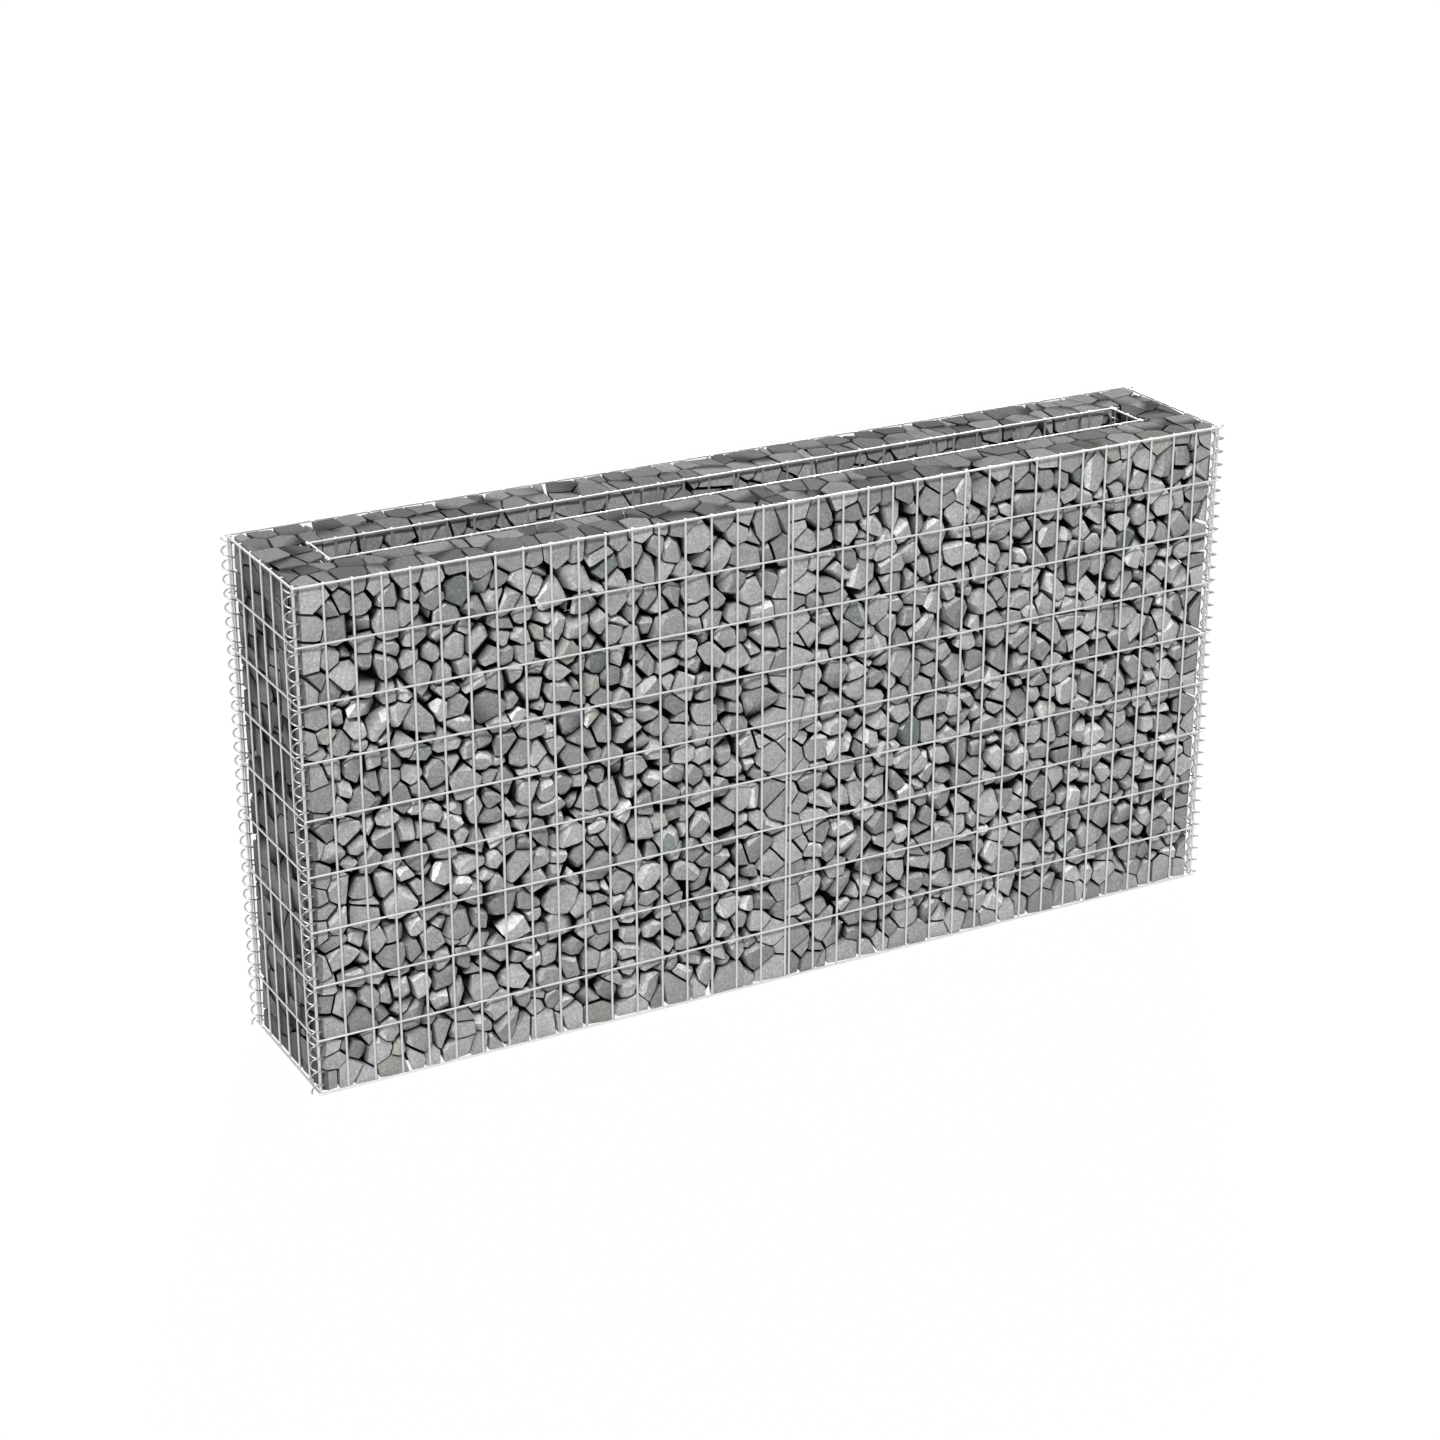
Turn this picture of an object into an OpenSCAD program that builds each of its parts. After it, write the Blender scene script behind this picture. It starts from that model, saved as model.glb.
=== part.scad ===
// Gabion raised bed: a double-walled basket of welded wire mesh on open ground.
// Stone fills the space between the outer and the inner mesh, and the inner
// mesh leaves an open planting trough along the middle. X runs along the bed,
// Y across it, Z up. The origin is the middle of the footprint, on the ground.

/* [Bed] */
// Length of the bed over its outer mesh
bed_length = 1800; // [1000:50:2600]
// Width of the bed over its outer mesh
bed_width = 300; // [280:10:600]
// Height of every mesh panel
bed_height = 900; // [300:50:1200]

/* [Stone walls] */
// Thickness of the stone walls, mesh included, at the long sides and the ends
stone_wall = 100; // [60:5:110]
// How far the top of the stones stays below the top of the mesh
fill_drop = 1; // [0:1:60]

/* [Mesh] */
// Aimed width of a mesh cell
cell_width = 50; // [30:5:100]
// Aimed height of a mesh cell
cell_height = 100; // [50:5:150]
// Diameter of the vertical wires, which lie against the stones
vertical_wire = 4; // [3:0.5:6]
// Diameter of the horizontal wires, welded to the free side of the vertical ones
horizontal_wire = 3.5; // [2.5:0.5:6]
// Depth to which the wires sink into each other at a weld
weld_depth = 0; // [0:0.1:1]
// Distance from a panel's end to the middle of its edge wire
edge_offset = 4; // [3:0.5:8]
// How far the vertical wires run past the top and bottom horizontal wires
wire_end = 0; // [0:0.5:6]

/* [Spiral binders] */
// Outer diameter of the spirals that lace the corners
spiral_diameter = 25; // [22:1:32]
// Diameter of the spirals' own wire
spiral_wire = 3; // [2:0.5:4]
// Turns of a spiral in the height of one mesh cell
turns_per_cell = 4; // [2:1:6]

/* [Clearances] */
// Gap between the ends of a short panel and the long panels beside it
panel_gap = 0.3; // [0.1:0.1:2]
// Gap between the stones and the mesh
stone_gap = 0.3; // [0.1:0.1:2]
// Gap between a spiral and the wires or stones that it passes
spiral_gap = 0.3; // [0.1:0.1:2]

/* [Hidden] */

galvanised = [0.74, 0.75, 0.76];
spiral_finish = [0.80, 0.81, 0.82];
basalt = [0.46, 0.46, 0.45];

// Sides of a drawn wire, and the width over its corners for each 1 over its flats.
wire_sides = 8;
over_corners = 1 / cos(180 / wire_sides);
// Straight steps in one turn of a spiral, and sides of its wire.
spiral_steps = 6;
spiral_sides = 4;
// How far a cut runs past the face that it opens.
cut = 1;

// A panel's thickness, and where its vertical wires lie behind its outer face.
panel_depth = horizontal_wire + vertical_wire - weld_depth;
vertical_middle = panel_depth - vertical_wire / 2;

// Heights of the bottom horizontal wire and of one row of cells.
first_row = wire_end + horizontal_wire / 2;
rows = max(1, round((bed_height - 2 * first_row) / cell_height));
row_pitch = (bed_height - 2 * first_row) / rows;

// The trough, and the short panels that stand between two long ones.
trough_length = bed_length - 2 * stone_wall;
trough_width = bed_width - 2 * stone_wall;
end_span = bed_width - 2 * (panel_depth + panel_gap);
trough_end_span = trough_width - 2 * (panel_depth + panel_gap);

// Faces of the stone walls, measured from the middle of the bed.
stone_outer_x = bed_length / 2 - panel_depth - stone_gap;
stone_outer_y = bed_width / 2 - panel_depth - stone_gap;
stone_inner_x = trough_length / 2 + stone_gap;
stone_inner_y = trough_width / 2 + stone_gap;
fill_height = bed_height - fill_drop;

// A spiral's line, and how far from its axis the wires that it laces may lie.
spiral_radius = (spiral_diameter - spiral_wire) / 2;
spiral_pitch = row_pitch / turns_per_cell;
spiral_turns = rows * turns_per_cell;
lace_reach = spiral_radius * cos(180 / spiral_steps) - spiral_wire / 2 - vertical_wire / 2 - spiral_gap;

// Edge wires of the long and the short panel that meet at a corner.
// sx and sy are 1 or -1 and choose the corner.
function outer_long_wire(sx, sy) =
    [sx * (bed_length / 2 - edge_offset), sy * (bed_width / 2 - vertical_middle)];
function outer_end_wire(sx, sy) =
    [sx * (bed_length / 2 - vertical_middle), sy * (end_span / 2 - edge_offset)];
function trough_long_wire(sx, sy) =
    [sx * (trough_length / 2 - edge_offset), sy * (trough_width - vertical_wire) / 2];
function trough_end_wire(sx, sy) =
    [sx * (trough_length - vertical_wire) / 2, sy * (trough_end_span / 2 - edge_offset)];

// Direction, square to the line between two wires, that points to the bed's end sx.
function lace_side(a, b, sx) =
    let (along = (b - a) / norm(b - a))
    sx * sign(along[1]) * [along[1], -along[0]];

// Axis of the spiral that holds the wires a and b against the inside of its turns.
function lace_axis(a, b, sx) =
    let (half = norm(b - a) / 2)
    (a + b) / 2 + lace_side(a, b, sx) * sqrt(max(0, pow(lace_reach, 2) - pow(half, 2)));

function outer_axis(sx, sy) = lace_axis(outer_long_wire(sx, sy), outer_end_wire(sx, sy), sx);
function trough_axis(sx, sy) = lace_axis(trough_long_wire(sx, sy), trough_end_wire(sx, sy), sx);

// One ring of the spiral's skin: its middle lies on the helix, and it is square to it.
function spiral_ring(start, step) =
    let (
        turn = start + 360 * step / spiral_steps,
        out = [cos(turn), sin(turn), 0],
        run = [-sin(turn), cos(turn), spiral_pitch / (2 * PI * spiral_radius)],
        up = cross(out, run) / norm(run),
        middle = spiral_radius * out + [0, 0, spiral_pitch * step / spiral_steps]
    )
    [for (side = [0 : spiral_sides - 1])
        let (round_wire = 360 * (side + 0.5) / spiral_sides)
        middle + spiral_wire / 2 * (cos(round_wire) * out + sin(round_wire) * up)];

// A straight wire along +Z with its flats square to X and Y.
module wire(length, diameter) {
    rotate(180 / wire_sides)
        cylinder(h = length, d = diameter * over_corners, $fn = wire_sides);
}

// A welded panel in the XZ plane from x = 0 to its width. Its horizontal wires lie
// at y = 0 and up, and its vertical ones behind them.
module mesh_panel(width) {
    columns = max(1, round((width - 2 * edge_offset) / cell_width));
    column_pitch = (width - 2 * edge_offset) / columns;
    color(galvanised) union() {
        for (column = [0 : columns])
            translate([edge_offset + column * column_pitch, vertical_middle, 0])
                wire(bed_height, vertical_wire);
        for (row = [0 : rows])
            translate([0, horizontal_wire / 2, first_row + row * row_pitch])
                rotate([0, 90, 0]) wire(width, horizontal_wire);
    }
}

// Long outer panel with its free side towards -Y.
module long_panel(sx) {
    translate([sx < 0 ? -bed_length / 2 : 0, -bed_width / 2, 0])
        mesh_panel(bed_length / 2);
}

// Short outer panel with its free side towards -X.
module end_panel() {
    translate([-bed_length / 2, end_span / 2, 0])
        rotate(-90) mesh_panel(end_span);
}

// Long panel of the trough at -Y, with its free side towards the trough.
module trough_long_panel(sx) {
    translate([sx < 0 ? 0 : trough_length / 2, panel_depth - trough_width / 2, 0])
        rotate(180) mesh_panel(trough_length / 2);
}

// Short panel of the trough at -X, with its free side towards the trough.
module trough_end_panel() {
    translate([panel_depth - trough_length / 2, -trough_end_span / 2, 0])
        rotate(90) mesh_panel(trough_end_span);
}

// Helical wire that is screwed down a corner round both panels' edge wires.
// It starts and ends on the side that points away from them.
module spiral_binder(axis, start) {
    rings = spiral_turns * spiral_steps;
    last = rings * spiral_sides;
    points = [for (step = [0 : rings]) each spiral_ring(start, step)];
    skin = [
        for (step = [0 : rings - 1], side = [0 : spiral_sides - 1])
            let (
                here = step * spiral_sides,
                above = here + spiral_sides,
                next = (side + 1) % spiral_sides
            )
            each [
                [here + side, above + next, here + next],
                [here + side, above + side, above + next]
            ]
    ];
    foot = [[for (side = [0 : spiral_sides - 1]) side]];
    head = [[for (side = [spiral_sides - 1 : -1 : 0]) last + side]];
    color(spiral_finish) translate([axis[0], axis[1], first_row])
        polyhedron(points, concat(skin, foot, head));
}

module corner_spiral(sx, sy) {
    side = lace_side(outer_long_wire(sx, sy), outer_end_wire(sx, sy), sx);
    spiral_binder(outer_axis(sx, sy), atan2(side[1], side[0]));
}

module trough_spiral(sx, sy) {
    side = lace_side(trough_long_wire(sx, sy), trough_end_wire(sx, sy), sx);
    spiral_binder(trough_axis(sx, sy), atan2(side[1], side[0]));
}

// Room that the stones leave round a spiral.
module spiral_room(axis) {
    translate([axis[0], axis[1], -cut])
        cylinder(h = fill_height + 2 * cut, d = spiral_diameter + 2 * spiral_gap, $fn = 48);
}

// Half of the stone wall along one long side. sx and sy choose which.
module stone_side(sx, sy) {
    low_x = sx < 0 ? -stone_outer_x : 0;
    low_y = sy < 0 ? -stone_outer_y : stone_inner_y;
    color(basalt) difference() {
        translate([low_x, low_y, 0])
            cube([stone_outer_x, stone_outer_y - stone_inner_y, fill_height]);
        spiral_room(outer_axis(sx, sy));
        spiral_room(trough_axis(sx, sy));
    }
}

// Stone between the two long walls at the bed's end sx.
module stone_end(sx) {
    color(basalt) difference() {
        translate([sx < 0 ? -stone_outer_x : stone_inner_x, -stone_inner_y, 0])
            cube([stone_outer_x - stone_inner_x, 2 * stone_inner_y, fill_height]);
        for (sy = [-1, 1]) spiral_room(trough_axis(sx, sy));
    }
}

long_panel(-1);  // front_panel_left
long_panel(1);  // front_panel_right
rotate(180) long_panel(1);  // back_panel_left
rotate(180) long_panel(-1);  // back_panel_right
end_panel();  // end_panel_left
rotate(180) end_panel();  // end_panel_right
trough_long_panel(-1);  // trough_panel_front_left
trough_long_panel(1);  // trough_panel_front_right
rotate(180) trough_long_panel(1);  // trough_panel_back_left
rotate(180) trough_long_panel(-1);  // trough_panel_back_right
trough_end_panel();  // trough_end_left
rotate(180) trough_end_panel();  // trough_end_right
corner_spiral(-1, -1);  // corner_spiral_front_left
corner_spiral(1, -1);  // corner_spiral_front_right
corner_spiral(-1, 1);  // corner_spiral_back_left
corner_spiral(1, 1);  // corner_spiral_back_right
trough_spiral(-1, -1);  // trough_spiral_front_left
trough_spiral(1, -1);  // trough_spiral_front_right
trough_spiral(-1, 1);  // trough_spiral_back_left
trough_spiral(1, 1);  // trough_spiral_back_right
stone_side(-1, -1);  // stone_wall_front_left
stone_side(1, -1);  // stone_wall_front_right
stone_side(-1, 1);  // stone_wall_back_left
stone_side(1, 1);  // stone_wall_back_right
stone_end(-1);  // stone_end_left
stone_end(1);  // stone_end_right
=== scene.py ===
"""Looks of the gabion raised bed: single stones, wound spirals and galvanised wire."""

import math
import random

import bmesh
import bpy
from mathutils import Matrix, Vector


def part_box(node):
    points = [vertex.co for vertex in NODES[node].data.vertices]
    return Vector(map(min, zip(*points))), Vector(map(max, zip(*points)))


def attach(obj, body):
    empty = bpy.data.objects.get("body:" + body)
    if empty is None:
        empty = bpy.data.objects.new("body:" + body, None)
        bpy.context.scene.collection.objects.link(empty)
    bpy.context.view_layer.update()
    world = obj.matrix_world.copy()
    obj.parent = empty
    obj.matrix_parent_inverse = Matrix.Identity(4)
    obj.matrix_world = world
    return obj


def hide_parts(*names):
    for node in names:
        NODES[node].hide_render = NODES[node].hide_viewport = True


bl_info = {
    "name": "Gabion raised bed",
    "version": (1, 0, 0),
    "blender": (4, 5, 0),
    "location": "3D View > Sidebar > Gabion",
    "description": "Fills a gabion raised bed with single stones and winds its corner spirals",
    "category": "Object",
}

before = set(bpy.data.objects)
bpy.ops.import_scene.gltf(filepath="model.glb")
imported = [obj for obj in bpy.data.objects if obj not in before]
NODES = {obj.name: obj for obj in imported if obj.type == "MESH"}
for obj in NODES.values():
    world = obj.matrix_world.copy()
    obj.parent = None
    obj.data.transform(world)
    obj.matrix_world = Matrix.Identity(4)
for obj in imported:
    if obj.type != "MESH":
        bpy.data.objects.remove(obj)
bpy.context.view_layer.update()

WALL_NODES = [n for n in NODES if n.startswith("stone_wall")]
END_NODES = [n for n in NODES if n.startswith("stone_end")]
SPIRAL_NODES = [n for n in NODES if "spiral" in n]
PANEL_NODES = [n for n in NODES if "panel" in n or n.startswith("trough_end")]

# A break that faces a wall, or an edge of the walls, more squarely than this is left out.
FLAT_FACE = 0.86

# A stone this near to two walls lies at an edge, and is set with more care.
# Its breaks may face the edge no more than EDGE_FACE, and EDGE_CARE of each is left out.
EDGE_REACH = 0.035
EDGE_FACE = 0.5
EDGE_CARE = 0.6

# Points nearer to each other than this count as one, in a stone and round one cut.
SAME_POINT = 0.00005
SAME_CROSSING = 1e-6

# A closed stone has at least this many faces.
FEWEST_FACES = 4

# Farthest that a stone may reach from its middle, and how far off and how many its neighbours are.
STONE_REACH = 0.09
NEIGHBOUR_SPAN = 0.15
NEIGHBOURS = 40

# In cells of the stones' grid: the shift of every other row, the least distance
# from a block's side, and the share of the shake that goes into the wall.
STAGGER = 0.5
SITE_MARGIN = 0.25
SHAKE_IN_DEPTH = 0.45

# Room that the stones leave round a spiral.
SPIRAL_ROOM = 0.0005

# Stage: how far the floor reaches each way, and how wide its lights look.
FLOOR_REACH = 15.0
SUN_ANGLE = math.radians(8.0)

# Camera: the width of its sensor in millimetres, and how far it sees.
SENSOR_WIDTH = 36.0
VIEW_REACH = 100.0

# Attributes that the stones carry for their material. TONE holds each stone's tone and the painted shade of
# the ends and top; DEPTH drives the painted shade in the gaps.
TONE = "stone_tone"
KIND = "stone_kind"
CHIP = "chipped_face"
DEPTH = "depth_in_wall"


# ---------------------------------------------------------------- node building

class Value:
    """A node socket that can be used in a Python expression."""

    def __init__(self, tree, socket):
        self.tree = tree
        self.socket = socket

    def _math(self, operation, *others):
        return self.tree.add("ShaderNodeMath", {"operation": operation}, [self, *others])

    def __add__(self, other):
        return self._math("ADD", other)

    def __mul__(self, other):
        return self._math("MULTIPLY", other)

    def __gt__(self, other):
        return self._math("GREATER_THAN", other)

    def __lt__(self, other):
        return self._math("LESS_THAN", other)

    __radd__ = __add__
    __rmul__ = __mul__


class Tree:
    """Adds nodes to a shader or geometry tree and links them."""

    def __init__(self, nodes_owner):
        self.tree = nodes_owner
        self.tree.nodes.clear()

    def add(self, kind, settings=None, inputs=(), output=0):
        """Adds one node. inputs is a list in socket order or a dict by socket name."""
        node = self.tree.nodes.new(kind)
        for name, setting in (settings or {}).items():
            setattr(node, name, setting)
        pairs = inputs.items() if isinstance(inputs, dict) else enumerate(inputs)
        for key, given in pairs:
            if isinstance(given, Value):
                self.tree.links.new(given.socket, node.inputs[key])
            else:
                node.inputs[key].default_value = given
        return Value(self, node.outputs[output]) if len(node.outputs) else node

    def other(self, value, name):
        """Another output of the node that value comes from."""
        return Value(self, value.socket.node.outputs[name])

    def mix(self, factor, first, second, blend="MIX"):
        """Mixes two colours."""
        settings = {"data_type": "RGBA", "blend_type": blend}
        return self.add("ShaderNodeMix", settings, {0: factor, 6: first, 7: second}, 2)

    def noise(self, place, scale, detail=2.0, roughness=0.5):
        inputs = {"Vector": place, "Scale": scale, "Detail": detail, "Roughness": roughness}
        return self.add("ShaderNodeTexNoise", {}, inputs)


def new_material(name):
    material = bpy.data.materials.new(name)
    material.use_nodes = True
    return material, Tree(material.node_tree)


def finish_material(tree, shader):
    tree.add("ShaderNodeOutputMaterial", {}, {"Surface": shader})


def colour(values):
    return (*values, 1.0)


# ---------------------------------------------------------------- materials

def wire_material(name, dark, light):
    """Hot-dip galvanised wire: pale zinc with soft cloudy patches."""
    material, tree = new_material(name)
    clouds_per_metre, flecks_per_metre = 90.0, 900.0
    smoothest, roughness_spread = 0.32, 0.2
    fleck_height, fleck_strength = 0.0002, 0.15
    bare_metal = 0.85

    place = tree.other(tree.add("ShaderNodeTexCoord"), "Object")
    clouds = tree.noise(place, clouds_per_metre, 3.0)
    flecks = tree.noise(place, flecks_per_metre, 2.0)
    tint = tree.mix(clouds, colour(dark), colour(light))
    rough = clouds * roughness_spread + smoothest
    bump = tree.add("ShaderNodeBump", {}, {
        "Strength": fleck_strength, "Distance": fleck_height, "Height": flecks,
    })
    shader = tree.add("ShaderNodeBsdfPrincipled", {}, {
        "Base Color": tint, "Roughness": rough, "Metallic": bare_metal, "Normal": bump,
    })
    finish_material(tree, shader)
    return material


def stone_material(sizes):
    """Crushed grey stone: each stone its own tone, fine pale grain and paler chips; painted shade darkens
    the stones deep in the wall, in the gaps, and at the ends and top.
    """
    material, tree = new_material("crushed stone")
    patches_per_metre, grains_per_metre, specks_per_metre = 45.0, 190.0, 300.0
    detail, patch_roughness, grain_roughness = 4.0, 0.6, 0.75
    beige_strength, green_strength = 0.6, 0.6
    speck_size, speck_grain, speck_strength = 0.22, 0.52, 0.5
    chip_strength, chip_grain = 0.4, 0.6
    grain_floor, grain_contrast = 0.15, 1.7
    smoothest, roughness_spread, shine = 0.7, 0.2, 0.35
    bump_height, bump_strength, bump_share = 0.003, 0.8, 0.5

    place = tree.other(tree.add("ShaderNodeTexCoord"), "Object")
    tone = tree.other(tree.add("ShaderNodeAttribute", {"attribute_name": TONE}), "Fac")
    kind = tree.other(tree.add("ShaderNodeAttribute", {"attribute_name": KIND}), "Fac")
    chip = tree.other(tree.add("ShaderNodeAttribute", {"attribute_name": CHIP}), "Fac")
    depth = tree.other(tree.add("ShaderNodeAttribute", {"attribute_name": DEPTH}), "Fac")

    patches = tree.noise(place, patches_per_metre, detail, patch_roughness)
    grain = tree.noise(place, grains_per_metre, detail, grain_roughness)
    speckle = tree.add("ShaderNodeTexVoronoi", {}, {"Vector": place, "Scale": specks_per_metre})

    beige = kind < sizes.beige_share
    green = kind > 1.0 - sizes.green_share
    plain = tree.mix(patches, colour(sizes.stone_dark), colour(sizes.stone_light))
    tinted = tree.mix(beige * patches * beige_strength, plain, colour(sizes.stone_beige))
    tinted = tree.mix(green * green_strength, tinted, colour(sizes.stone_green))
    specks = (speckle < speck_size) * (grain > speck_grain) * speck_strength
    pale = specks + chip * (grain * chip_grain + chip_strength)
    grained = tree.mix(pale, tinted, colour(sizes.stone_chip))
    # Painted shade: the stones darken with depth in the wall, so the gaps between them look shaded.
    painted_gap_shade = tree.add("ShaderNodeMapRange", {}, [depth, *sizes.painted_shade_depth, 1.0, sizes.painted_shade_left])
    level = tone * (grain * grain_contrast + grain_floor) * painted_gap_shade
    shade = tree.add("ShaderNodeCombineColor", {}, [level, level, level])
    base = tree.mix(1.0, grained, shade, "MULTIPLY")

    rough = grain * roughness_spread + smoothest
    height = patches * bump_share + grain * (1.0 - bump_share)
    bump = tree.add("ShaderNodeBump", {}, {
        "Strength": bump_strength, "Distance": bump_height, "Height": height,
    })
    shader = tree.add("ShaderNodeBsdfPrincipled", {}, {
        "Base Color": base, "Roughness": rough, "Specular IOR Level": shine, "Normal": bump,
    })
    finish_material(tree, shader)
    return material


def studio_material(name, tint, glow):
    """Matt floor that looks pale to the camera and keeps the object's shadow."""
    material, tree = new_material(name)
    rays = tree.add("ShaderNodeLightPath")
    seen = rays + tree.other(rays, "Is Glossy Ray") + tree.other(rays, "Is Transmission Ray")
    matt = tree.add("ShaderNodeBsdfDiffuse", {}, {"Color": colour(tint)})
    lit = tree.add("ShaderNodeEmission", {}, {"Color": (1, 1, 1, 1), "Strength": 1.0})
    finish_material(tree, tree.add("ShaderNodeMixShader", {}, [seen * glow, matt, lit]))
    return material


# ---------------------------------------------------------------- stones

def clip(faces, normal, limit, chip):
    """Cuts a convex solid, kept where normal . p <= limit, and closes the cut."""
    nx, ny, nz = normal
    kept, rim = [], []
    for points, mark in faces:
        above = [nx * x + ny * y + nz * z - limit for x, y, z in points]
        if max(above) <= 0:
            kept.append((points, mark))
            continue
        if min(above) >= 0:
            continue
        cut = []
        for index, here in enumerate(points):
            before, low, high = points[index - 1], above[index - 1], above[index]
            if (low > 0) != (high > 0):
                share = low / (low - high)
                crossing = tuple(a + (b - a) * share for a, b in zip(before, here))
                cut.append(crossing)
                rim.append(crossing)
            if high <= 0:
                cut.append(here)
        if len(cut) > 2:
            kept.append((cut, mark))
    lid = round_in_order(rim, normal) if len(rim) > 2 else []
    if len(lid) > 2:
        kept.append((lid, chip))
    return kept


def round_in_order(rim, normal):
    """The points of a cut face in order round its normal, each of them once."""
    axis = Vector(normal)
    side = axis.orthogonal().normalized()
    up = axis.cross(side)
    middle = sum((Vector(p) for p in rim), Vector()) / len(rim)

    def angle(point):
        arm = Vector(point) - middle
        return math.atan2(arm.dot(up), arm.dot(side))

    turned = sorted(rim, key=angle)
    return [p for i, p in enumerate(turned) if (Vector(p) - Vector(turned[i - 1])).length > SAME_CROSSING]


def box_faces(low, high):
    """The six faces of a box, seen from outside, wound anticlockwise."""
    x, y, z = ((low[i], high[i]) for i in range(3))
    loops = [
        [(0, 0, 0), (0, 0, 1), (0, 1, 1), (0, 1, 0)], [(1, 0, 0), (1, 1, 0), (1, 1, 1), (1, 0, 1)],
        [(0, 0, 0), (1, 0, 0), (1, 0, 1), (0, 0, 1)], [(0, 1, 0), (0, 1, 1), (1, 1, 1), (1, 1, 0)],
        [(0, 0, 0), (0, 1, 0), (1, 1, 0), (1, 0, 0)], [(0, 0, 1), (1, 0, 1), (1, 1, 1), (0, 1, 1)],
    ]
    return [([(x[i], y[j], z[k]) for i, j, k in loop], 0.0) for loop in loops]


def stone_sites(low, high, sizes, rng):
    """Middles of the stones in a box: a staggered grid that is well shaken."""
    span = high - low
    counts = [max(1, round(span[i] / pitch)) for i, pitch in
              enumerate((sizes.stone_length, sizes.stone_depth, sizes.stone_height))]
    pitch = Vector([span[i] / counts[i] for i in range(3)])
    sites = []
    for i in range(counts[0]):
        for j in range(counts[1]):
            for k in range(counts[2]):
                if rng.random() < sizes.missing_share:
                    continue
                stagger = STAGGER * ((k + j) % 2 - 0.5)
                place = Vector((i + 0.5 + stagger, j + 0.5, k + 0.5))
                shake = Vector((rng.uniform(-1, 1), SHAKE_IN_DEPTH * rng.uniform(-1, 1), rng.uniform(-1, 1)))
                place += shake * sizes.shake
                for n in range(3):
                    cells = min(max(place[n], SITE_MARGIN), counts[n] - SITE_MARGIN)
                    place[n] = low[n] + cells * pitch[n]
                sites.append((place, rng.uniform(-1, 1) * sizes.size_spread))
    return sites


def nearest_sites(site, sites):
    """The sites round a stone that may bound it, the nearest first."""
    here = site[0]
    near = [s for s in sites if s is not site
            and abs(s[0].x - here.x) < NEIGHBOUR_SPAN and abs(s[0].z - here.z) < NEIGHBOUR_SPAN]
    return sorted(near, key=lambda s: (s[0] - here).length)[:NEIGHBOURS]


def stone_shape(site, neighbours, walls, rooms, sizes, rng):
    """One stone: the room nearest to its middle, less the gaps, with its corners broken off."""
    place, weight = site
    corner = Vector((STONE_REACH,) * 3)
    faces = box_faces(place - corner, place + corner)
    outward = []
    at_edge = sum(limit - normal.dot(place) < EDGE_REACH for normal, limit in walls) > 1
    for normal, limit in walls:
        if limit - normal.dot(place) > STONE_REACH:
            continue
        calm = sizes.top_calm if normal.z > 0 or at_edge else 1.0
        tilt = Vector([rng.uniform(-1, 1) for _ in range(3)]) * sizes.face_tilt * calm
        leaning = (normal + tilt).normalized()
        foot = place + normal * (limit - normal.dot(place))
        faces = clip(faces, leaning, leaning.dot(foot) - rng.uniform(0, sizes.face_inset) * calm, 0.0)
        faces = clip(faces, normal, limit, 0.0)
        outward.append(normal)
    for axis_point, radius in rooms:
        towards = Vector((axis_point[0] - place.x, axis_point[1] - place.y, 0))
        if towards.length < STONE_REACH:
            normal = towards.normalized()
            faces = clip(faces, normal, normal.dot(place) + towards.length - radius, 0.0)
    for other, other_weight in neighbours:
        between = other - place
        distance = between.length
        if distance / 2 > 2 * STONE_REACH:
            break
        normal = between / distance
        middle = normal.dot(place) + distance / 2 + (weight - other_weight) / 2
        faces = clip(faces, normal, middle - rng.uniform(0.5, 1.5) * sizes.gap / 2, 0.0)
    for _ in range(sizes.breaks):
        normal = Vector([rng.gauss(0, 1) for _ in range(3)]).normalized()
        squareness = math.sqrt(sum(max(0.0, normal.dot(out)) ** 2 for out in outward))
        if squareness > (EDGE_FACE if at_edge else FLAT_FACE):
            continue
        points = [p for points, _ in faces for p in points]
        if not points:
            return []
        far = max(normal.dot(p) for p in points)
        middle = sum((Vector(p) for p in points), Vector()) / len(points)
        near = normal.dot(middle)
        left = rng.uniform(*sizes.break_range)
        if at_edge:
            left += (1.0 - left) * EDGE_CARE
        faces = clip(faces, normal, near + (far - near) * left, 1.0)
    return faces


def join_points(work):
    """Joins points that lie on each other and removes faces that this leaves flat."""
    bmesh.ops.remove_doubles(work, verts=work.verts, dist=SAME_POINT)
    bmesh.ops.dissolve_degenerate(work, edges=work.edges, dist=SAME_POINT)


def wall_planes(low, high):
    """The outward normals and limits of a block's six sides."""
    planes = []
    for axis in range(3):
        out = Vector([float(n == axis) for n in range(3)])
        planes += [(out, high[axis]), (-out, -low[axis])]
    return planes


def spiral_rooms(low, high):
    """Axis and radius of the room that each spiral beside a block needs."""
    rooms = []
    for spiral in SPIRAL_NODES:
        start, end = (Vector(c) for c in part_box(spiral))
        middle = (start + end) / 2
        radius = (end.x - start.x) / 2 + SPIRAL_ROOM
        if all(low[n] - radius < middle[n] < high[n] + radius for n in range(2)):
            rooms.append((middle, radius))
    return rooms


def depths_in_wall(point, outer, trough):
    """How far a point lies behind the long sides, the ends and the top of the stones."""
    x, y = abs(point[0]), abs(point[1])
    long_side, end, top = outer.y - y, outer.x - x, outer.z - point[2]
    if x < trough.x:
        long_side = min(long_side, y - trough.y)
    elif y < trough.y:
        end = min(end, x - trough.x)
    return long_side, end, top


def nearest_side(point, outer, trough):
    """0 if a point is nearest to a long side of the stones, 1 to an end, 2 to the top."""
    depths = depths_in_wall(point, outer, trough)
    return depths.index(min(depths))


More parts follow.
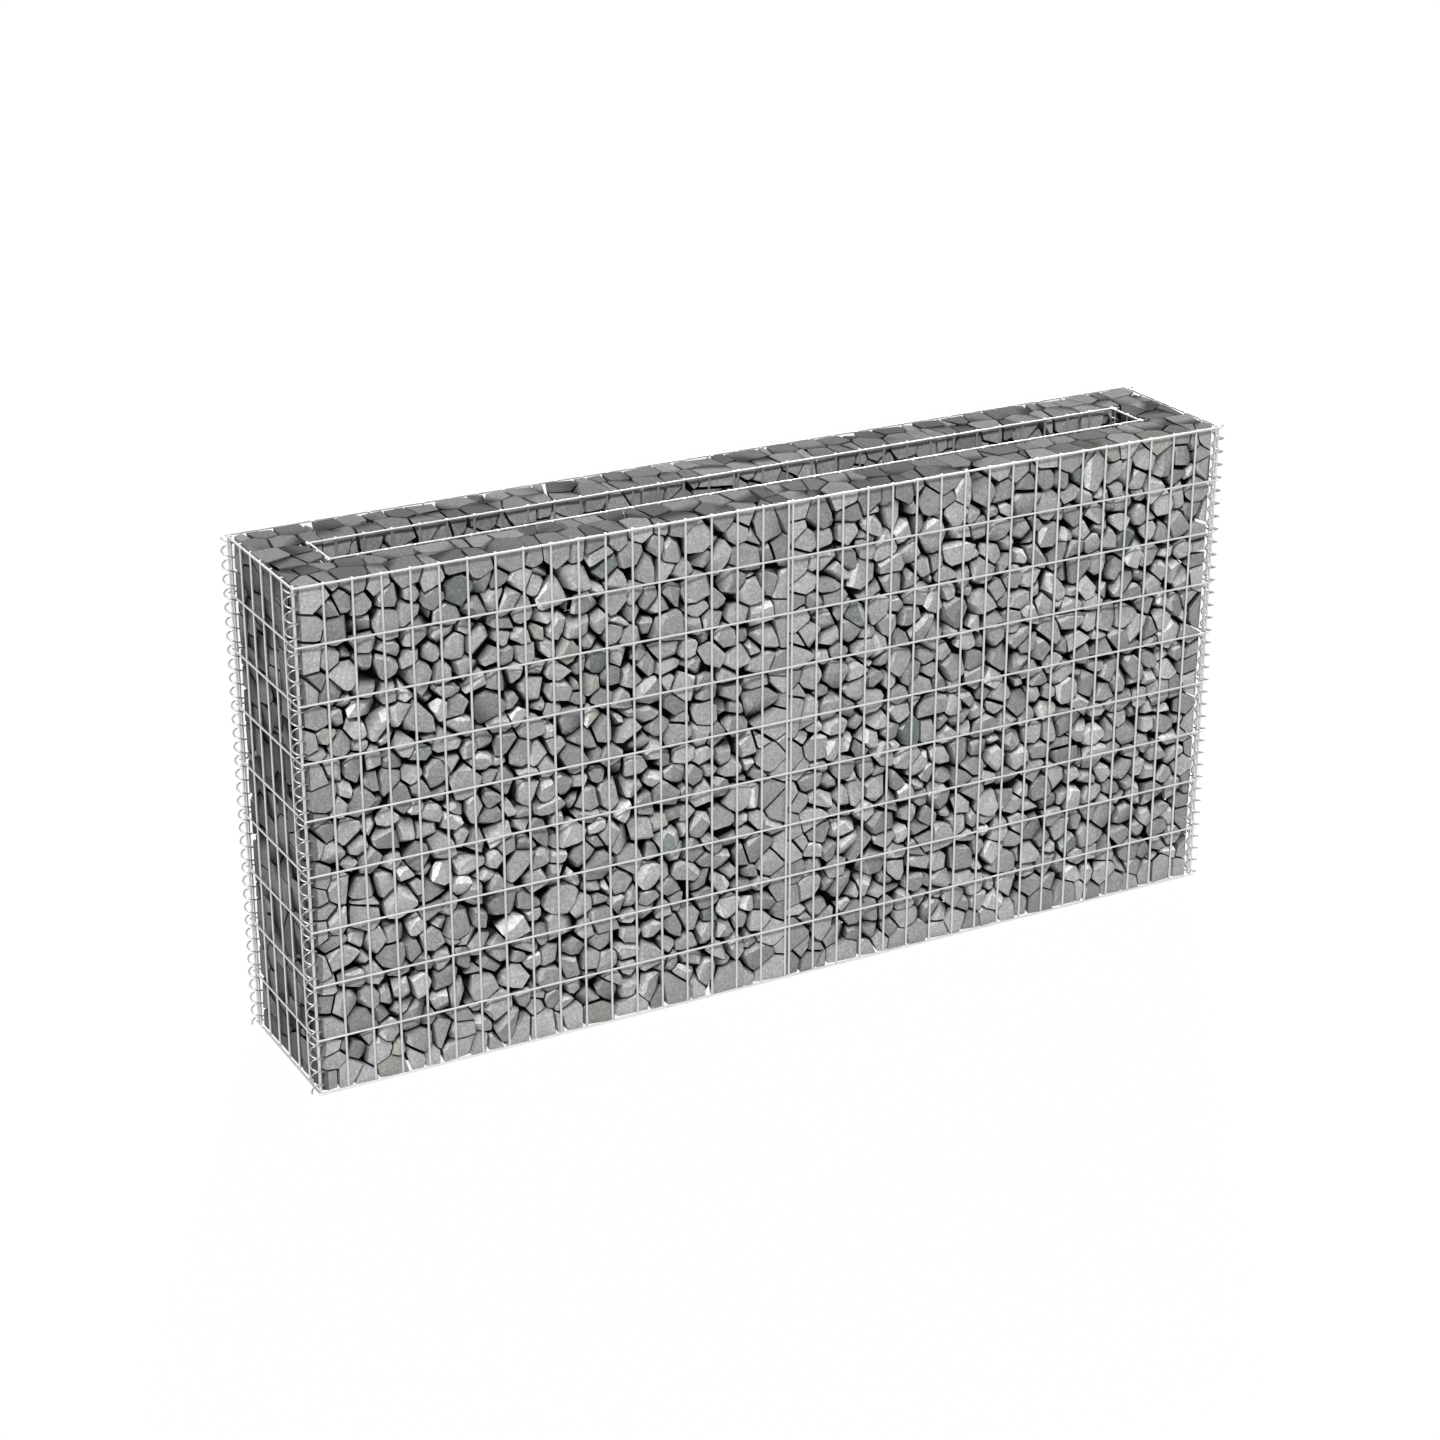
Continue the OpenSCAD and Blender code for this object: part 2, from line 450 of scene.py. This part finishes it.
def fill_with_stones(name, node, sizes, seed, outer, trough):
    """The loose faces of the single stones that fill a CAD block."""
    rng = random.Random(seed)
    low, high = (Vector(c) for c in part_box(node))
    rooms = spiral_rooms(low, high)
    walls = wall_planes(low, high)
    sites = stone_sites(low, high, sizes, rng)
    # Painted shade: the stones' faces at the ends and the top get darker tones than at the long sides, as if
    # less light fell on them.
    tones_with_painted_shade = (sizes.side_range, sizes.end_painted_shade_range, sizes.top_painted_shade_range)
    vertices, polygons, tones, kinds, chips = [], [], [], [], []
    for site in sites:
        faces = stone_shape(site, nearest_sites(site, sites), walls, rooms, sizes, rng)
        if len(faces) < FEWEST_FACES:
            continue
        kind, rank = rng.random(), rng.random()
        for points, mark in faces:
            start = len(vertices)
            vertices += points
            polygons.append(range(start, start + len(points)))
            middle = sum((Vector(p) for p in points), Vector()) / len(points)
            low_shade, high_shade = tones_with_painted_shade[nearest_side(middle, outer, trough)]
            tones.append(low_shade + (high_shade - low_shade) * rank)
            kinds.append(kind)
            chips.append(mark * rng.random())
    mesh = bpy.data.meshes.new(name)
    mesh.from_pydata(vertices, [], polygons)
    for label, numbers in ((TONE, tones), (KIND, kinds), (CHIP, chips)):
        mesh.attributes.new(label, "FLOAT", "FACE").data.foreach_set("value", numbers)
    # Painted shade in the gaps: the depth behind each face, counted more steeply at the ends and the top so
    # that their gaps darken sooner.
    painted_shade_gains = (1.0, sizes.end_painted_shade_gain, sizes.top_painted_shade_gain)
    depths = [max(0.0, min(d * gain for d, gain in zip(depths_in_wall(p, outer, trough), painted_shade_gains)))
              for p in vertices]
    mesh.attributes.new(DEPTH, "FLOAT", "POINT").data.foreach_set("value", depths)
    return mesh


def weld(mesh):
    """Joins the stones' faces into closed solids."""
    work = bmesh.new()
    work.from_mesh(mesh)
    join_points(work)
    work.to_mesh(mesh)
    work.free()


def add_piece(name, mesh):
    piece = bpy.data.objects.new(name, mesh)
    bpy.context.scene.collection.objects.link(piece)
    return piece


# ---------------------------------------------------------------- spirals

def spiral_tree():
    """Geometry Nodes tree for a spiral binder round an upright axis."""
    group = bpy.data.node_groups.new("spiral binder", "GeometryNodeTree")
    interface = group.interface
    interface.new_socket("Geometry", in_out="INPUT", socket_type="NodeSocketGeometry")
    for label, kind in (("Turns", "Float"), ("Radius", "Float"), ("Height", "Float"), ("Wire", "Float"),
                        ("Steps", "Int"), ("Sides", "Int"), ("Foot", "Vector"), ("Start", "Float")):
        interface.new_socket(label, in_out="INPUT", socket_type="NodeSocket" + kind)
    interface.new_socket("Material", in_out="INPUT", socket_type="NodeSocketMaterial")
    interface.new_socket("Geometry", in_out="OUTPUT", socket_type="NodeSocketGeometry")
    tree = Tree(group)
    given = tree.add("NodeGroupInput")
    put = lambda label: tree.other(given, label)
    line = tree.add("GeometryNodeCurveSpiral", {}, {
        "Resolution": put("Steps"), "Rotations": put("Turns"), "Start Radius": put("Radius"),
        "End Radius": put("Radius"), "Height": put("Height"),
    })
    profile = tree.add("GeometryNodeCurvePrimitiveCircle", {}, {
        "Resolution": put("Sides"), "Radius": put("Wire") * 0.5,
    })
    wire = tree.add("GeometryNodeCurveToMesh", {}, {
        "Curve": line, "Profile Curve": profile, "Fill Caps": True,
    })
    turn = tree.add("ShaderNodeCombineXYZ", {}, {"Z": put("Start")})
    moved = tree.add("GeometryNodeTransform", {}, {
        "Geometry": wire, "Translation": put("Foot"), "Rotation": turn,
    })
    real = tree.add("GeometryNodeRealizeInstances", {}, [moved])
    smooth = tree.add("GeometryNodeSetShadeSmooth", {}, {"Geometry": real})
    made = tree.add("GeometryNodeSetMaterial", {}, {"Geometry": smooth, "Material": put("Material")})
    tree.add("NodeGroupOutput", {}, [made])
    return group


def run_tree(piece, group, **given):
    """Runs a Geometry Nodes tree on a piece and keeps its result as a plain mesh."""
    modifier = piece.modifiers.new("shape", "NODES")
    modifier.node_group = group
    for item in group.interface.items_tree:
        if item.in_out == "INPUT" and item.name in given:
            modifier[item.identifier] = given[item.name]
    graph = bpy.context.evaluated_depsgraph_get()
    made = bpy.data.meshes.new_from_object(piece.evaluated_get(graph))
    piece.modifiers.remove(modifier)
    piece.data = made
    made.name = piece.name
    return piece


# ---------------------------------------------------------------- settings

class GabionStoneSettings(bpy.types.PropertyGroup):
    """Sizes and colours of the stones."""

    stone_length: bpy.props.FloatProperty(
        name="Stone length", description="Usual length of a stone along the wall", default=0.038,
        unit="LENGTH")
    stone_depth: bpy.props.FloatProperty(
        name="Stone depth", description="Usual depth of a stone into the wall", default=0.046,
        unit="LENGTH")
    stone_height: bpy.props.FloatProperty(
        name="Stone height", description="Usual height of a stone", default=0.034, unit="LENGTH")
    gap: bpy.props.FloatProperty(
        name="Gap", description="Usual gap between two stones", default=0.0044, unit="LENGTH")
    shake: bpy.props.FloatProperty(
        name="Shake", description="How far stones lie from an even grid, as a share of its cells",
        default=0.38)
    missing_share: bpy.props.FloatProperty(
        name="Missing", description="Share of the grid's stones left out, so that others grow",
        default=0.06)
    size_spread: bpy.props.FloatProperty(
        name="Size spread", description="How much room a stone takes from its neighbours", default=0.009,
        unit="LENGTH")
    face_tilt: bpy.props.FloatProperty(
        name="Face tilt", description="Lean of the stones' outer faces", default=0.28)
    face_inset: bpy.props.FloatProperty(
        name="Face inset", description="How far a stone may lie behind the wall's face", default=0.004,
        unit="LENGTH")
    breaks: bpy.props.IntProperty(
        name="Breaks", description="Corners broken off each stone", default=12)
    break_range: bpy.props.FloatVectorProperty(
        name="Break range", description="Share of a stone's reach that is left at a broken corner", size=2,
        default=(0.68, 0.9))
    # Painted shade: the stones darken with depth in the wall, so the gaps between them look shaded.
    painted_shade_depth: bpy.props.FloatVectorProperty(
        name="Shade depth",
        description="Depths in the wall at which the stones begin and end to darken", size=2,
        default=(0.005, 0.02), unit="LENGTH")
    painted_shade_left: bpy.props.FloatProperty(
        name="Shade left", description="Share of its colour that a stone keeps deep in the wall",
        default=0.03)
    # Painted shade: the gains make the gaps at the ends and the top darken nearer to the surface.
    end_painted_shade_gain: bpy.props.FloatProperty(
        name="End gain", description="How much sooner the stones darken behind the ends", default=10.0)
    top_painted_shade_gain: bpy.props.FloatProperty(
        name="Top gain", description="How much sooner the stones darken under the top", default=10.0)
    side_range: bpy.props.FloatVectorProperty(
        name="Long sides", description="Shades of the stones' faces at the long sides", size=2,
        default=(0.58, 1.14))
    # Painted shade: the ends and the top are painted darker than the long sides, as if less light fell on
    # them.
    end_painted_shade_range: bpy.props.FloatVectorProperty(
        name="Ends", description="Shades of the stones' faces at the ends", size=2, default=(0.16, 0.56))
    top_painted_shade_range: bpy.props.FloatVectorProperty(
        name="Top", description="Shades of the stones' faces at the top", size=2, default=(0.14, 0.72))
    top_calm: bpy.props.FloatProperty(
        name="Top calm", description="Share of the usual lean and inset that the levelled top has",
        default=0.3)
    stone_dark: bpy.props.FloatVectorProperty(
        name="Stone, dark", description="Darker shade of the grey stone", subtype="COLOR",
        default=(0.24, 0.245, 0.245))
    stone_light: bpy.props.FloatVectorProperty(
        name="Stone, light", description="Lighter shade of the grey stone", subtype="COLOR",
        default=(0.40, 0.40, 0.395))
    stone_chip: bpy.props.FloatVectorProperty(
        name="Chips", description="Freshly broken stone", subtype="COLOR", default=(0.78, 0.78, 0.77))
    stone_beige: bpy.props.FloatVectorProperty(
        name="Beige", description="Beige patches on a few stones", subtype="COLOR",
        default=(0.43, 0.41, 0.32))
    stone_green: bpy.props.FloatVectorProperty(
        name="Green", description="Green-grey of a few stones", subtype="COLOR",
        default=(0.08, 0.125, 0.12))
    beige_share: bpy.props.FloatProperty(
        name="Beige share", description="Share of the stones with beige patches", default=0.015)
    green_share: bpy.props.FloatProperty(
        name="Green share", description="Share of the stones that are green-grey", default=0.008)
    seed: bpy.props.IntProperty(name="Seed", description="Seed of the stones' shapes", default=11)


class GabionWireSettings(bpy.types.PropertyGroup):
    """Sizes and colours of the wires."""

    wire: bpy.props.FloatProperty(
        name="Spiral wire", description="Diameter of the spirals' wire", default=0.003, unit="LENGTH")
    pitch: bpy.props.FloatProperty(
        name="Pitch", description="Height of one turn of a spiral", default=0.02486, unit="LENGTH")
    steps: bpy.props.IntProperty(name="Steps", description="Steps in one turn", default=20)
    sides: bpy.props.IntProperty(name="Sides", description="Sides of the spirals' wire", default=8)
    zinc_light: bpy.props.FloatVectorProperty(
        name="Zinc, light", description="Lighter patches of the zinc", subtype="COLOR",
        default=(0.73, 0.74, 0.75))
    zinc_dark: bpy.props.FloatVectorProperty(
        name="Zinc, dark", description="Darker patches of the zinc", subtype="COLOR",
        default=(0.6, 0.61, 0.62))
    # Painted shade: the spirals' zinc is a darker copy of the panels' zinc, so that the spirals look shaded.
    spiral_painted_shade_light: bpy.props.FloatVectorProperty(
        name="Spirals, light", description="Lighter patches on the spirals", subtype="COLOR",
        default=(0.54, 0.55, 0.56))
    spiral_painted_shade_dark: bpy.props.FloatVectorProperty(
        name="Spirals, dark", description="Darker patches on the spirals", subtype="COLOR",
        default=(0.34, 0.35, 0.36))


class GabionStageSettings(bpy.types.PropertyGroup):
    """Camera, light and floor."""

    camera_place: bpy.props.FloatVectorProperty(
        name="Camera", description="Place of the camera", subtype="TRANSLATION",
        default=(-2.466, -4.408, 2.53))
    camera_turn: bpy.props.FloatProperty(
        name="Turn", description="How far the camera looks towards +X from +Y", subtype="ANGLE",
        default=0.5)
    camera_dip: bpy.props.FloatProperty(
        name="Dip", description="How far the camera looks down", subtype="ANGLE", default=0.3912)
    lens: bpy.props.FloatProperty(name="Lens", description="Focal length", unit="CAMERA", default=76.6)
    key_power: bpy.props.FloatProperty(name="Key", description="Strength of the main light", default=3.4)
    key_from: bpy.props.FloatVectorProperty(
        name="Key from", description="Side that the main light comes from", default=(-0.32, -0.62, 0.82))
    back_power: bpy.props.FloatProperty(
        name="Back", description="Strength of the light from behind", default=1.0)
    back_from: bpy.props.FloatVectorProperty(
        name="Back from", description="Side that the light from behind comes from",
        default=(0.5, 0.8, 0.45))
    fill_power: bpy.props.FloatProperty(
        name="Fill", description="Strength of the light from all round", default=0.36)
    floor_tint: bpy.props.FloatVectorProperty(
        name="Floor", description="Colour of the floor", subtype="COLOR", default=(0.82, 0.82, 0.82))
    floor_glow: bpy.props.FloatProperty(
        name="Floor glow", description="How white the floor looks to the camera", default=0.96)


# ---------------------------------------------------------------- operators

def add_sun(scene, name, power, source):
    """A soft, distant light that shines from the side that source points to."""
    sun = bpy.data.objects.new(name, bpy.data.lights.new(name, "SUN"))
    scene.collection.objects.link(sun)
    sun.data.energy = power
    sun.data.angle = SUN_ANGLE
    sun.rotation_euler = Vector(source).to_track_quat("Z", "Y").to_euler()


class GABION_OT_stage(bpy.types.Operator):
    """Sets the floor, the light and the camera."""

    bl_idname = "gabion.stage"
    bl_label = "Set the stage"

    def execute(self, context):
        scene = context.scene
        sizes = scene.gabion_stage
        scene.view_settings.view_transform = "Standard"

        camera = bpy.data.objects.new("camera", bpy.data.cameras.new("camera"))
        scene.collection.objects.link(camera)
        camera.data.lens = sizes.lens
        camera.data.sensor_width = SENSOR_WIDTH
        camera.data.clip_end = VIEW_REACH
        camera.location = sizes.camera_place
        dip = math.pi / 2 - sizes.camera_dip
        camera.rotation_euler = (dip, 0.0, -sizes.camera_turn)
        scene.camera = camera

        floor_mesh = bpy.data.meshes.new("floor")
        signs = [(-1, -1), (1, -1), (1, 1), (-1, 1)]
        corners = [(x * FLOOR_REACH, y * FLOOR_REACH, 0) for x, y in signs]
        floor_mesh.from_pydata(corners, [], [(0, 1, 2, 3)])
        floor = add_piece("floor", floor_mesh)
        floor_mesh.materials.append(studio_material("pale floor", sizes.floor_tint, sizes.floor_glow))

        add_sun(scene, "key light", sizes.key_power, sizes.key_from)
        add_sun(scene, "back light", sizes.back_power, sizes.back_from)

        world = bpy.data.worlds.new("studio")
        world.use_nodes = True
        scene.world = world
        tree = Tree(world.node_tree)
        rays = tree.add("ShaderNodeLightPath")
        seen = rays + tree.other(rays, "Is Glossy Ray") + tree.other(rays, "Is Transmission Ray")
        strength = seen * (1.0 - sizes.fill_power) + sizes.fill_power
        sky = tree.add("ShaderNodeBackground", {}, {"Color": (1, 1, 1, 1), "Strength": strength})
        tree.add("ShaderNodeOutputWorld", {}, {"Surface": sky})
        return {"FINISHED"}


class GABION_OT_panels(bpy.types.Operator):
    """Gives the welded panels their galvanised finish."""

    bl_idname = "gabion.panels"
    bl_label = "Galvanise the panels"

    def execute(self, context):
        sizes = context.scene.gabion_wire
        zinc = wire_material("galvanised mesh", sizes.zinc_dark, sizes.zinc_light)
        for name in PANEL_NODES:
            mesh = NODES[name].data
            mesh.materials.clear()
            mesh.materials.append(zinc)
        return {"FINISHED"}


class GABION_OT_spirals(bpy.types.Operator):
    """Winds the spiral binders at the corners."""

    bl_idname = "gabion.spirals"
    bl_label = "Wind the spirals"

    def execute(self, context):
        sizes = context.scene.gabion_wire
        # Painted shade: the spirals get a darker copy of the galvanised zinc.
        zinc = wire_material("spiral zinc with painted shade", sizes.spiral_painted_shade_dark, sizes.spiral_painted_shade_light)
        group = spiral_tree()
        for name in SPIRAL_NODES:
            low, high = (Vector(c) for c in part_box(name))
            middle = (low + high) / 2
            height = high.z - low.z - sizes.wire
            across = min(high.x - low.x, high.y - low.y)
            piece = add_piece(name.replace("spiral", "binder"), bpy.data.meshes.new(name))
            run_tree(piece, group, **{
                "Turns": round(height / sizes.pitch), "Radius": (across - sizes.wire) / 2,
                "Height": height, "Wire": sizes.wire, "Steps": sizes.steps, "Sides": sizes.sides,
                "Foot": (middle.x, middle.y, low.z + sizes.wire / 2),
                "Start": 0.0 if middle.x > 0 else math.pi, "Material": zinc,
            })
            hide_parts(name)
            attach(piece, "root")
        return {"FINISHED"}


class GABION_OT_stones(bpy.types.Operator):
    """Fills the walls with single stones."""

    bl_idname = "gabion.stones"
    bl_label = "Fill with stones"

    def execute(self, context):
        sizes = context.scene.gabion_stone
        stone = stone_material(sizes)
        wall_corners = [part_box(n) for n in WALL_NODES]
        outer = Vector([max(high[axis] for low, high in wall_corners) for axis in range(3)])
        trough = Vector((min(abs(c[0]) for n in END_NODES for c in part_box(n)),
                         max(c[1] for n in END_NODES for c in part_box(n)), 0))
        for number, node in enumerate(WALL_NODES + END_NODES):
            name = node.replace("stone_wall", "stones_wall").replace("stone_end", "stones_end")
            mesh = fill_with_stones(name, node, sizes, sizes.seed + number, outer, trough)
            weld(mesh)
            mesh.materials.append(stone)
            piece = add_piece(name, mesh)
            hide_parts(node)
            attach(piece, "root")
        return {"FINISHED"}


class GABION_PT_sidebar(bpy.types.Panel):
    """Lists the steps that dress the gabion."""

    bl_idname = "GABION_PT_sidebar"
    bl_label = "Gabion raised bed"
    bl_space_type = "VIEW_3D"
    bl_region_type = "UI"
    bl_category = "Gabion"

    def draw(self, context):
        for step in STEPS:
            self.layout.operator(step.bl_idname)


STEPS = [GABION_OT_stage, GABION_OT_panels, GABION_OT_spirals, GABION_OT_stones]
CLASSES = [GabionStoneSettings, GabionWireSettings, GabionStageSettings, *STEPS, GABION_PT_sidebar]


def register():
    for item in CLASSES:
        bpy.utils.register_class(item)
    bpy.types.Scene.gabion_stone = bpy.props.PointerProperty(type=GabionStoneSettings)
    bpy.types.Scene.gabion_wire = bpy.props.PointerProperty(type=GabionWireSettings)
    bpy.types.Scene.gabion_stage = bpy.props.PointerProperty(type=GabionStageSettings)


def unregister():
    del bpy.types.Scene.gabion_stage
    del bpy.types.Scene.gabion_wire
    del bpy.types.Scene.gabion_stone
    for item in reversed(CLASSES):
        bpy.utils.unregister_class(item)


def main():
    register()
    for step in STEPS:
        group, name = step.bl_idname.split(".")
        getattr(getattr(bpy.ops, group), name)()


if __name__ == "__main__":
    main()
